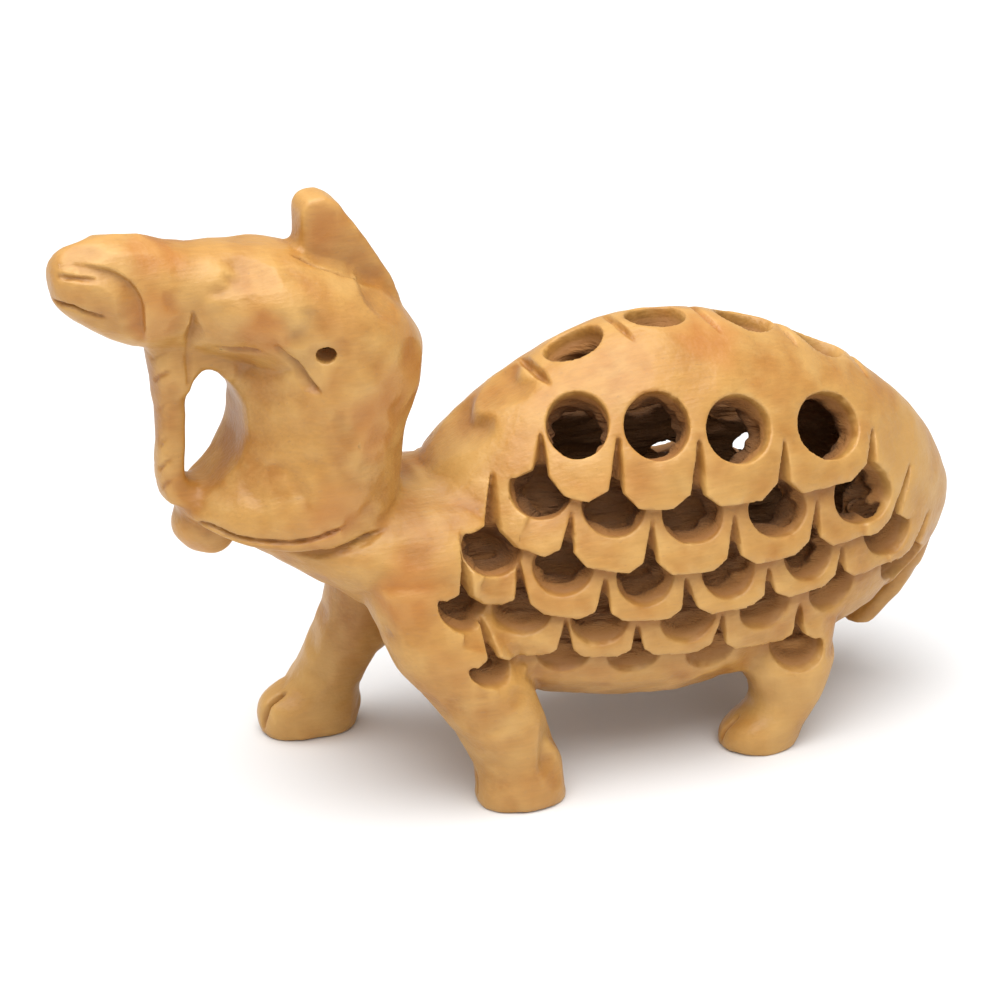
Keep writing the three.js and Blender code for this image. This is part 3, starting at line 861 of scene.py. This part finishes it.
def rein_tools(skin):
    """The slanting notches that run down both sides of the rein."""
    tools = []
    for z in REIN_NOTCHES:
        for side in (1, -1):
            path = [(side * 2.3, -56.4, z + 1.2), (side * 1.5, -57.6, z), (side * 0.6, -58.4, z - 1.2)]
            tools.append(knife_cut(skin, path, 0.22, 0.3, 0.55, 1.0, 0.3))
    return tools


def cheek_notch(side):
    """The deep notch that parts the top of the rein from the cheek."""
    rings = []
    for z, front, rear, floor in NOTCH_LEVELS:
        outside = 8
        middle = -54.9
        rings.append([
            Vector((side * outside, middle - front * 1.1, z)),
            Vector((side * outside, middle + rear * 1.1, z)),
            Vector((side * (floor + 2.2), middle + rear * 0.8, z)),
            Vector((side * floor, middle, z)),
            Vector((side * (floor + 1.4), middle - front * 0.8, z)),
        ])
    return new_object("notch", rings_joined(rings))


# Knife facets and the unevenness of the hand


def coordinates(camel):
    places = np.empty(len(camel.data.vertices) * 3)
    camel.data.vertices.foreach_get("co", places)
    return places.reshape(-1, 3)


def directions(camel):
    normals = np.empty(len(camel.data.vertices) * 3)
    camel.data.vertices.foreach_get("normal", normals)
    return normals.reshape(-1, 3)


def set_coordinates(camel, places):
    camel.data.vertices.foreach_set("co", places.ravel())
    camel.data.update()


def ripples(places, period, dice, count=14):
    """A smooth uneven field between about -1 and 1, with bumps of roughly the given size."""
    field = np.zeros(len(places))
    for _ in range(count):
        way = np.array([dice.gauss(0, 1) for _ in range(3)])
        way *= 2 * math.pi / period / np.linalg.norm(way) * dice.uniform(0.7, 1.4)
        field += np.sin(places @ way + dice.uniform(0, 2 * math.pi))
    return field / math.sqrt(count)


def smooth_step(value, low, high):
    share = np.clip((value - low) / (high - low), 0, 1)
    return share * share * (3 - 2 * share)


def shave(places, seed, out, deep, span):
    """Cuts one small flat: whatever stands a little above it near the seed comes down to it, less so
    towards the rim of its span."""
    gap = places - np.array(seed)
    height = gap @ np.array(out) + deep
    away = np.sqrt((gap**2).sum(axis=1)) / span
    share = (1 - smooth_step(away, 0.55, 1)) * (1 - smooth_step(height, 1.5 * deep, 3 * deep))
    taken = (away < 1) & (height > 0)
    places[taken] -= (height * share)[taken, None] * np.array(out)


def shave_facets(camel, skin, dice):
    """Shaves flats off the rounded forms, as a knife leaves them."""
    places = coordinates(camel)
    for middle, reach, count, deep, span in FACETED:
        for _ in range(count):
            offset = Vector([dice.uniform(-1, 1) * r for r in reach])
            seed, out = skin.nearest(Vector(middle) + offset, 1.5)
            out = (out + Vector([dice.uniform(-0.08, 0.08) for _ in range(3)])).normalized()
            shave(places, seed, out, deep * dice.uniform(0.6, 1.2), span * dice.uniform(0.8, 1.3))
    for place, out, deep, span in FLATS:
        for side in (1, -1):
            seed, _ = skin.nearest(Vector(mirrored([place], side)[0]))
            shave(places, seed, Vector(mirrored([out], side)[0]).normalized(), deep, span)
    places += directions(camel) * (0.1 * ripples(places, 9, dice))[:, None]
    set_coordinates(camel, places)


def skin_depths(camel, skin):
    return np.array([skin.depth(vert.co) for vert in camel.data.vertices])


def roughen(camel, skin, dice):
    """Leaves the inside walls torn and ribbed and the skin slightly uneven, with flat soles."""
    places = coordinates(camel)
    inside = smooth_step(skin_depths(camel, skin), 1.6, 3.4)
    along = places * np.array([1, 0.45, 1])
    torn = ripples(along, 2.2, dice) * 0.3 + ripples(along, 5, dice) * 0.35
    fine = ripples(places, 3.2, dice) * 0.035
    places += directions(camel) * (torn * inside + fine)[:, None]
    places[:, 2] = np.maximum(places[:, 2], 0)
    set_coordinates(camel, places)


# Finishing the mesh


def thin_out(camel, target):
    triangles = sum(len(p.vertices) - 2 for p in camel.data.polygons)
    modifier = camel.modifiers.new("Thin", "DECIMATE")
    modifier.ratio = min(1, target / triangles)
    settle(camel)


def drop_crumbs(camel):
    """Removes the loose crumbs that the cuts leave inside, and keeps the largest part."""
    bm = bmesh.new()
    bm.from_mesh(camel.data)
    unseen = set(bm.verts)
    parts = []
    while unseen:
        part = [unseen.pop()]
        for vert in part:
            for edge in vert.link_edges:
                neighbour = edge.other_vert(vert)
                if neighbour in unseen:
                    unseen.remove(neighbour)
                    part.append(neighbour)
        parts.append(part)
    parts.sort(key=len)
    crumbs = [vert for part in parts[:-1] for vert in part]
    bmesh.ops.delete(bm, geom=crumbs, context="VERTS")
    bm.to_mesh(camel.data)
    bm.free()


def attribute(camel, name, values):
    layer = camel.data.attributes.new(name, "FLOAT", "POINT")
    layer.data.foreach_set("value", np.ascontiguousarray(values, dtype=np.float32))


def neighbour_mean(values, edges, count):
    total = np.zeros(len(values))
    for near, far in ((0, 1), (1, 0)):
        total += np.bincount(edges[:, near], weights=values[edges[:, far]], minlength=len(values))
    return total / count


def bend(camel):
    """How much each point stands out from its neighbours: above 0 on edges, below 0 in creases."""
    places = coordinates(camel)
    edges = np.empty(len(camel.data.edges) * 2, dtype=np.int64)
    camel.data.edges.foreach_get("vertices", edges)
    edges = edges.reshape(-1, 2)
    count = np.maximum(np.bincount(edges.ravel(), minlength=len(places)), 1)
    mean = np.stack([neighbour_mean(places[:, k], edges, count) for k in range(3)], axis=1)
    bent = ((places - mean) * directions(camel)).sum(axis=1)
    for _ in range(2):
        bent = 0.5 * bent + 0.5 * neighbour_mean(bent, edges, count)
    return bent


def blot(places, spots, dice):
    """A mask that is strong round each of the given spots and has uneven borders."""
    mask = np.zeros(len(places))
    rough = ripples(places, 6, dice) * 0.25
    for middle, reach in spots:
        away = np.linalg.norm(places - np.array(middle), axis=1) / reach
        mask = np.maximum(mask, 1 - smooth_step(away + rough, 0.55, 1.15))
    return mask


def record_marks(camel, skin, dice):
    """Stores what the wood's colour needs at each point, the masks of painted shade among them."""
    places = coordinates(camel)
    bent = bend(camel)
    # Depth below the uncut skin; the colour uses it for a scorched stain at the rims and for painted shade
    # in the recesses
    attribute(camel, "depth", skin_depths(camel, skin))
    attribute(camel, "edge", np.clip(bent * 14, 0, 1))
    # Concave places, which the colour paints with shade
    attribute(camel, "crease_shade", np.clip(-bent * 14, 0, 1))
    # Reddish patches: partly wood tone, partly painted shade
    attribute(camel, "warm_and_shade", blot(places, WARM_AND_SHADE_SPOTS, dice))
    attribute(camel, "pale", blot(places, PALE_SPOTS, dice))


def place_in_frame(camel):
    """Moves the finished mesh from the carving's own space to the frame's, in metres."""
    camel.data.transform(Matrix.Scale(MM, 4) @ Matrix.Translation((0, SHIFT_Y, 0)))


def carve():
    dice = random.Random(SEED)
    camel = rough_out()
    remeshed(camel, 0.45, 4)
    skin = Skin(camel)
    shave_facets(camel, skin, dice)
    cut(camel, hollows(skin, dice))
    for side in (1, -1):
        cut(camel, flank_tools(skin, side, dice))
    cut(camel, ridge_tools(skin) + [cheek_notch(1), cheek_notch(-1)])
    cut(camel, both_sides(skin, HEAD_CUTS))
    cut(camel, both_sides(skin, FOOT_CUTS) + eye_tools(skin) + rein_tools(skin))
    cut(camel, [knife_cut(skin, *values) for values in SINGLE_CUTS])
    remeshed(camel, 0.2, 1)
    roughen(camel, skin, dice)
    thin_out(camel, 190000)
    drop_crumbs(camel)
    record_marks(camel, skin, dice)
    place_in_frame(camel)
    camel.name = "carved_camel"
    for polygon in camel.data.polygons:
        polygon.use_smooth = True
    return camel


# Wood


def new_node(tree, kind, **inputs):
    """Adds a node and sets or links its inputs, named with underscores for spaces."""
    made = tree.nodes.new(kind)
    for name, value in inputs.items():
        label = int(name[1:]) if name[1:].isdigit() else name.replace("_", " ")
        socket = made.inputs[label]
        if isinstance(value, bpy.types.NodeSocket):
            tree.links.new(value, socket)
        else:
            socket.default_value = value
    return made


def blended(tree, share, first, second, kind="MIX"):
    made = tree.nodes.new("ShaderNodeMix")
    made.data_type = "RGBA"
    made.blend_type = kind
    for socket, value in ((made.inputs[0], share), (made.inputs[6], first), (made.inputs[7], second)):
        if isinstance(value, bpy.types.NodeSocket):
            tree.links.new(value, socket)
        else:
            socket.default_value = value
    return made.outputs[2]


def ramped(tree, value, low, high, bottom=0, top=1):
    """Maps a value between two levels to a share, smoothly."""
    made = new_node(tree, "ShaderNodeMapRange", Value=value)
    made.interpolation_type = "SMOOTHSTEP"
    for name, number in (("From Min", low), ("From Max", high), ("To Min", bottom), ("To Max", top)):
        made.inputs[name].default_value = number
    return made.outputs["Result"]


def maths(tree, operation, first, second):
    made = tree.nodes.new("ShaderNodeMath")
    made.operation = operation
    for socket, value in ((made.inputs[0], first), (made.inputs[1], second)):
        if isinstance(value, bpy.types.NodeSocket):
            tree.links.new(value, socket)
        else:
            socket.default_value = value
    return made.outputs[0]


def stretched(tree, places, scale):
    made = new_node(tree, "ShaderNodeMapping", Vector=places)
    made.inputs["Scale"].default_value = scale
    return made.outputs["Vector"]


def noisy(tree, places, scale, detail=3, roughness=0.55):
    made = new_node(
        tree, "ShaderNodeTexNoise", Vector=places, Scale=scale, Detail=detail, Roughness=roughness
    )
    return made.outputs["Fac"]


def marks(tree, name):
    made = tree.nodes.new("ShaderNodeAttribute")
    made.attribute_name = name
    return made.outputs["Fac"]


def new_group(name, wanted, given):
    """A node group with the given sockets. Returns the tree and its two end nodes."""
    tree = bpy.data.node_groups.new(name, "ShaderNodeTree")
    for label, kind in wanted:
        tree.interface.new_socket(label, in_out="INPUT", socket_type=kind)
    for label, kind in given:
        tree.interface.new_socket(label, in_out="OUTPUT", socket_type=kind)
    return tree, tree.nodes.new("NodeGroupInput"), tree.nodes.new("NodeGroupOutput")


def figure_group(colours):
    """The colour of sound wood: broad patches, streaks along the grain and tiny pores."""
    tree, start, end = new_group(
        "wood figure", [("Places", "NodeSocketVector")], [("Color", "NodeSocketColor")]
    )
    places = start.outputs["Places"]
    patches = ramped(tree, noisy(tree, places, 0.16, 2), 0.36, 0.66)
    colour = blended(tree, patches, (*colours.honey, 1), (*colours.amber, 1))
    clouds = noisy(tree, stretched(tree, places, (0.3, 0.16, 0.3)), 1, 4)
    cloud = ramped(tree, clouds, 0.45, 0.75, 0, 0.55)
    colour = blended(tree, cloud, colour, (*colours.pale, 1))
    lines = noisy(tree, stretched(tree, places, (2.6, 0.28, 2.6)), 1, 3)
    grain = ramped(tree, lines, 0.35, 0.7, 0.94, 1.04)
    streaks = new_node(tree, "ShaderNodeCombineColor", _0=grain, _1=grain, _2=grain).outputs[0]
    colour = blended(tree, 1, colour, streaks, "MULTIPLY")
    specks = noisy(tree, stretched(tree, places, (3.4, 1.3, 3.4)), 1, 2, 0.4)
    pores = ramped(tree, specks, 0.66, 0.74, 0, 0.5)
    colour = blended(tree, pores, colour, (*colours.bark, 1))
    tree.links.new(colour, end.inputs["Color"])
    return tree


def relief_group():
    """The height of the worked surface: fine grain outside, torn ribs on the inside walls."""
    tree, start, end = new_group(
        "wood relief",
        [("Places", "NodeSocketVector"), ("Depth", "NodeSocketFloat")],
        [("Height", "NodeSocketFloat")],
    )
    places = start.outputs["Places"]
    grain = noisy(tree, stretched(tree, places, (3, 0.5, 3)), 1, 3)
    soft = noisy(tree, places, 0.7, 2)
    fine = maths(tree, "MULTIPLY", grain, 0.05)
    outside = maths(tree, "ADD", fine, maths(tree, "MULTIPLY", soft, 0.12))
    turned = new_node(tree, "ShaderNodeMapping", Vector=places)
    turned.inputs["Rotation"].default_value = (math.radians(-32), 0, 0)
    turned.inputs["Scale"].default_value = (0.35, 0.3, 1.5)
    ribs = noisy(tree, turned.outputs["Vector"], 1, 4, 0.6)
    inside = ramped(tree, start.outputs["Depth"], 1.2, 3)
    torn = maths(tree, "MULTIPLY", maths(tree, "MULTIPLY", ribs, 1.1), inside)
    tree.links.new(maths(tree, "ADD", outside, torn), end.inputs["Height"])
    return tree


def wood_material(colours):
    material = bpy.data.materials.new("waxed wood")
    material.use_nodes = True
    tree = material.node_tree
    shader = tree.nodes["Principled BSDF"]
    coordinate = tree.nodes.new("ShaderNodeTexCoord").outputs["Object"]
    places = stretched(tree, coordinate, (1 / MM,) * 3)
    figure = tree.nodes.new("ShaderNodeGroup")
    figure.node_tree = figure_group(colours)
    tree.links.new(places, figure.inputs["Places"])
    colour = figure.outputs["Color"]
    # The reddish patches are partly wood tone and partly painted shade; the pale patches and worn edges are
    # the wood's own
    for name, most, tint in (
        ("warm_and_shade", 0.6, colours.orange_and_shade), ("pale", 0.55, colours.pale), ("edge", 0.65, colours.rubbed),
    ):
        share = maths(tree, "MULTIPLY", marks(tree, name), most)
        colour = blended(tree, share, colour, (*tint, 1))
    # Colour deepens with depth below the uncut skin: a scorched stain near the holes' rims, and painted
    # shade in the recesses of the holes and the hollow
    uneven = maths(tree, "MULTIPLY", noisy(tree, places, 0.9, 3), 0.9)
    depth = maths(tree, "ADD", marks(tree, "depth"), uneven)
    stain_and_shade = ramped(tree, depth, 0.9, 2.4, 0, 0.85)
    colour = blended(tree, stain_and_shade, colour, (*colours.stain_and_shade, 1))
    deep_stain_and_shade = ramped(tree, depth, 2.4, 4.6, 0, 0.9)
    colour = blended(tree, deep_stain_and_shade, colour, (*colours.deep_stain_and_shade, 1))
    # Painted shade in concave places
    crease_shade = maths(tree, "MULTIPLY", marks(tree, "crease_shade"), 0.75)
    colour = blended(tree, crease_shade, colour, (*colours.stain_and_shade, 1))
    tree.links.new(colour, shader.inputs["Base Color"])
    tree.links.new(ramped(tree, depth, 0.8, 3, 0.4, 0.85), shader.inputs["Roughness"])
    relief = tree.nodes.new("ShaderNodeGroup")
    relief.node_tree = relief_group()
    tree.links.new(places, relief.inputs["Places"])
    tree.links.new(marks(tree, "depth"), relief.inputs["Depth"])
    bump = new_node(tree, "ShaderNodeBump", Height=relief.outputs["Height"])
    bump.inputs["Strength"].default_value = 1
    bump.inputs["Distance"].default_value = MM
    tree.links.new(bump.outputs["Normal"], shader.inputs["Normal"])
    shader.inputs["Specular IOR Level"].default_value = 0.4
    return material


# Stage


def from_angles(azimuth, elevation):
    """The way from the camel towards an azimuth and elevation, in degrees."""
    a, e = math.radians(azimuth), math.radians(elevation)
    return Vector((math.sin(a) * math.cos(e), -math.cos(a) * math.cos(e), math.sin(e)))


def aimed(name, data, aim, back, distance):
    """An object at a distance from its aim, that looks at it."""
    made = bpy.data.objects.new(name, data)
    made.location = aim + back * distance
    made.rotation_mode = "QUATERNION"
    made.rotation_quaternion = (-back).to_track_quat("-Z", "Y")
    bpy.context.scene.collection.objects.link(made)
    return made


def camera():
    data = bpy.data.cameras.new("camera")
    data.lens = LENS
    data.sensor_width = 36
    data.clip_end = 10
    aim = (AIM + Vector((0, SHIFT_Y, 0))) * MM
    back = from_angles(AZIMUTH, ELEVATION)
    bpy.context.scene.camera = aimed("camera", data, aim, back, CAMERA_DISTANCE)


def lamp(name, azimuth, elevation, size, power):
    data = bpy.data.lights.new(name, "AREA")
    data.shape = "DISK"
    data.size = size
    data.energy = power
    aimed(name, data, Vector((0, 0, 0.03)), from_angles(azimuth, elevation), LAMP_DISTANCE)


def plain_material(name, colour, roughness):
    material = bpy.data.materials.new(name)
    material.use_nodes = True
    shader = material.node_tree.nodes["Principled BSDF"]
    shader.inputs["Base Color"].default_value = (*colour, 1)
    shader.inputs["Roughness"].default_value = roughness
    return material


def floor(colour):
    bm = bmesh.new()
    bmesh.ops.create_grid(bm, x_segments=1, y_segments=1, size=3)
    made = new_object("floor", bm)
    made.data.materials.append(plain_material("floor", colour, 0.8))


def daylight(strength):
    world = bpy.data.worlds.new("world")
    world.use_nodes = True
    world.node_tree.nodes["Background"].inputs["Color"].default_value = (1, 1, 1, 1)
    world.node_tree.nodes["Background"].inputs["Strength"].default_value = strength
    bpy.context.scene.world = world


# The add-on


def colour_property(name, description, default):
    return FloatVectorProperty(
        name=name, description=description, default=default, size=3, min=0, max=1, subtype="COLOR"
    )


def length_property(name, description, default):
    return FloatProperty(name=name, description=description, default=default * MM, min=0, unit="LENGTH")


class CarvingSizes(bpy.types.PropertyGroup):
    """Sizes of the carving."""

    step: length_property("Step", "How deep the tiles slope in under the tips of the row above", 1.3)
    slit: length_property("Slit", "Width of the slits between the tiles", 1.9)
    ridge_hole: length_property("Ridge hole", "Width of the holes along the spine", 7)
    ridge_depth: length_property("Ridge depth", "Depth of the holes along the spine", 8)
    ear: length_property("Ear", "Thickness of the ear", 4.2)


class WoodColours(bpy.types.PropertyGroup):
    """The colours of the waxed wood, some of which also paint shade."""

    honey: colour_property("Honey", "The wood's main colour", (0.42, 0.205, 0.045))
    amber: colour_property("Amber", "Darker patches of sound wood", (0.36, 0.15, 0.027))
    pale: colour_property("Pale", "Lighter clouds in the wood", (0.5, 0.29, 0.09))
    # Reddish tone of the wood, also used as painted shade on the ear and the knob under the neck
    orange_and_shade: colour_property("Orange", "Warm patches where the wax has gathered", (0.4, 0.14, 0.022))
    rubbed: colour_property("Rubbed", "Worn edges", (0.6, 0.35, 0.11))
    # Scorched stain near the holes' rims, also used as painted shade just inside the holes and in concave
    # places
    stain_and_shade: colour_property("Burnt", "Walls of the holes near their rims", (0.3, 0.13, 0.035))
    # Painted shade deep inside the holes and the hollow, over some stain
    deep_stain_and_shade: colour_property("Dark", "Inside walls", (0.2, 0.095, 0.038))
    bark: colour_property("Bark", "Pores", (0.3, 0.15, 0.05))


class StageSettings(bpy.types.PropertyGroup):
    """The floor and the lights."""

    floor: colour_property("Floor", "The colour of the floor", (0.75, 0.75, 0.75))
    key: FloatProperty(
        name="Key", description="Power of the main lamp", default=8, min=0, unit="POWER"
    )
    fill: FloatProperty(
        name="Fill", description="Power of the second lamp", default=0.5, min=0, unit="POWER"
    )
    sky: FloatProperty(
        name="Sky", description="Strength of the light from all round", default=0.5, min=0
    )


class CARVING_OT_camel(bpy.types.Operator):
    """Carve the pierced camel"""

    bl_idname = "carving.camel"
    bl_label = "Carve the camel"

    def execute(self, context):
        camel = carve()
        if not len(camel.data.polygons):
            raise RuntimeError("the carving has no faces")
        camel.data.materials.clear()
        camel.data.materials.append(wood_material(context.scene.wood_colours))
        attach(camel, "root")
        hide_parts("camel")
        return {"FINISHED"}


class CARVING_OT_stage(bpy.types.Operator):
    """Set the floor, the lights and the camera"""

    bl_idname = "carving.stage"
    bl_label = "Set the stage"

    def execute(self, context):
        settings = context.scene.stage_settings
        floor(settings.floor)
        daylight(settings.sky)
        lamp("key", 40, 78, 0.9, settings.key)
        lamp("fill", 100, 30, 0.5, settings.fill)
        camera()
        context.scene.view_settings.view_transform = "Standard"
        return {"FINISHED"}


class CARVING_PT_panel(bpy.types.Panel):
    """Buttons and settings of the carving"""

    bl_label = "Pierced camel"
    bl_space_type = "VIEW_3D"
    bl_region_type = "UI"
    bl_category = "Carving"

    def draw(self, context):
        layout = self.layout
        scene = context.scene
        for settings in (scene.carving_sizes, scene.wood_colours, scene.stage_settings):
            for name in settings.__annotations__:
                layout.prop(settings, name)
        layout.operator("carving.camel")
        layout.operator("carving.stage")


CLASSES = (
    CarvingSizes, WoodColours, StageSettings, CARVING_OT_camel, CARVING_OT_stage, CARVING_PT_panel,
)


def register():
    for made in CLASSES:
        bpy.utils.register_class(made)
    bpy.types.Scene.carving_sizes = PointerProperty(type=CarvingSizes)
    bpy.types.Scene.wood_colours = PointerProperty(type=WoodColours)
    bpy.types.Scene.stage_settings = PointerProperty(type=StageSettings)


def unregister():
    del bpy.types.Scene.carving_sizes
    del bpy.types.Scene.wood_colours
    del bpy.types.Scene.stage_settings
    for made in reversed(CLASSES):
        bpy.utils.unregister_class(made)


def main():
    register()
    bpy.ops.carving.camel()
    bpy.ops.carving.stage()


if __name__ == "__main__":
    main()
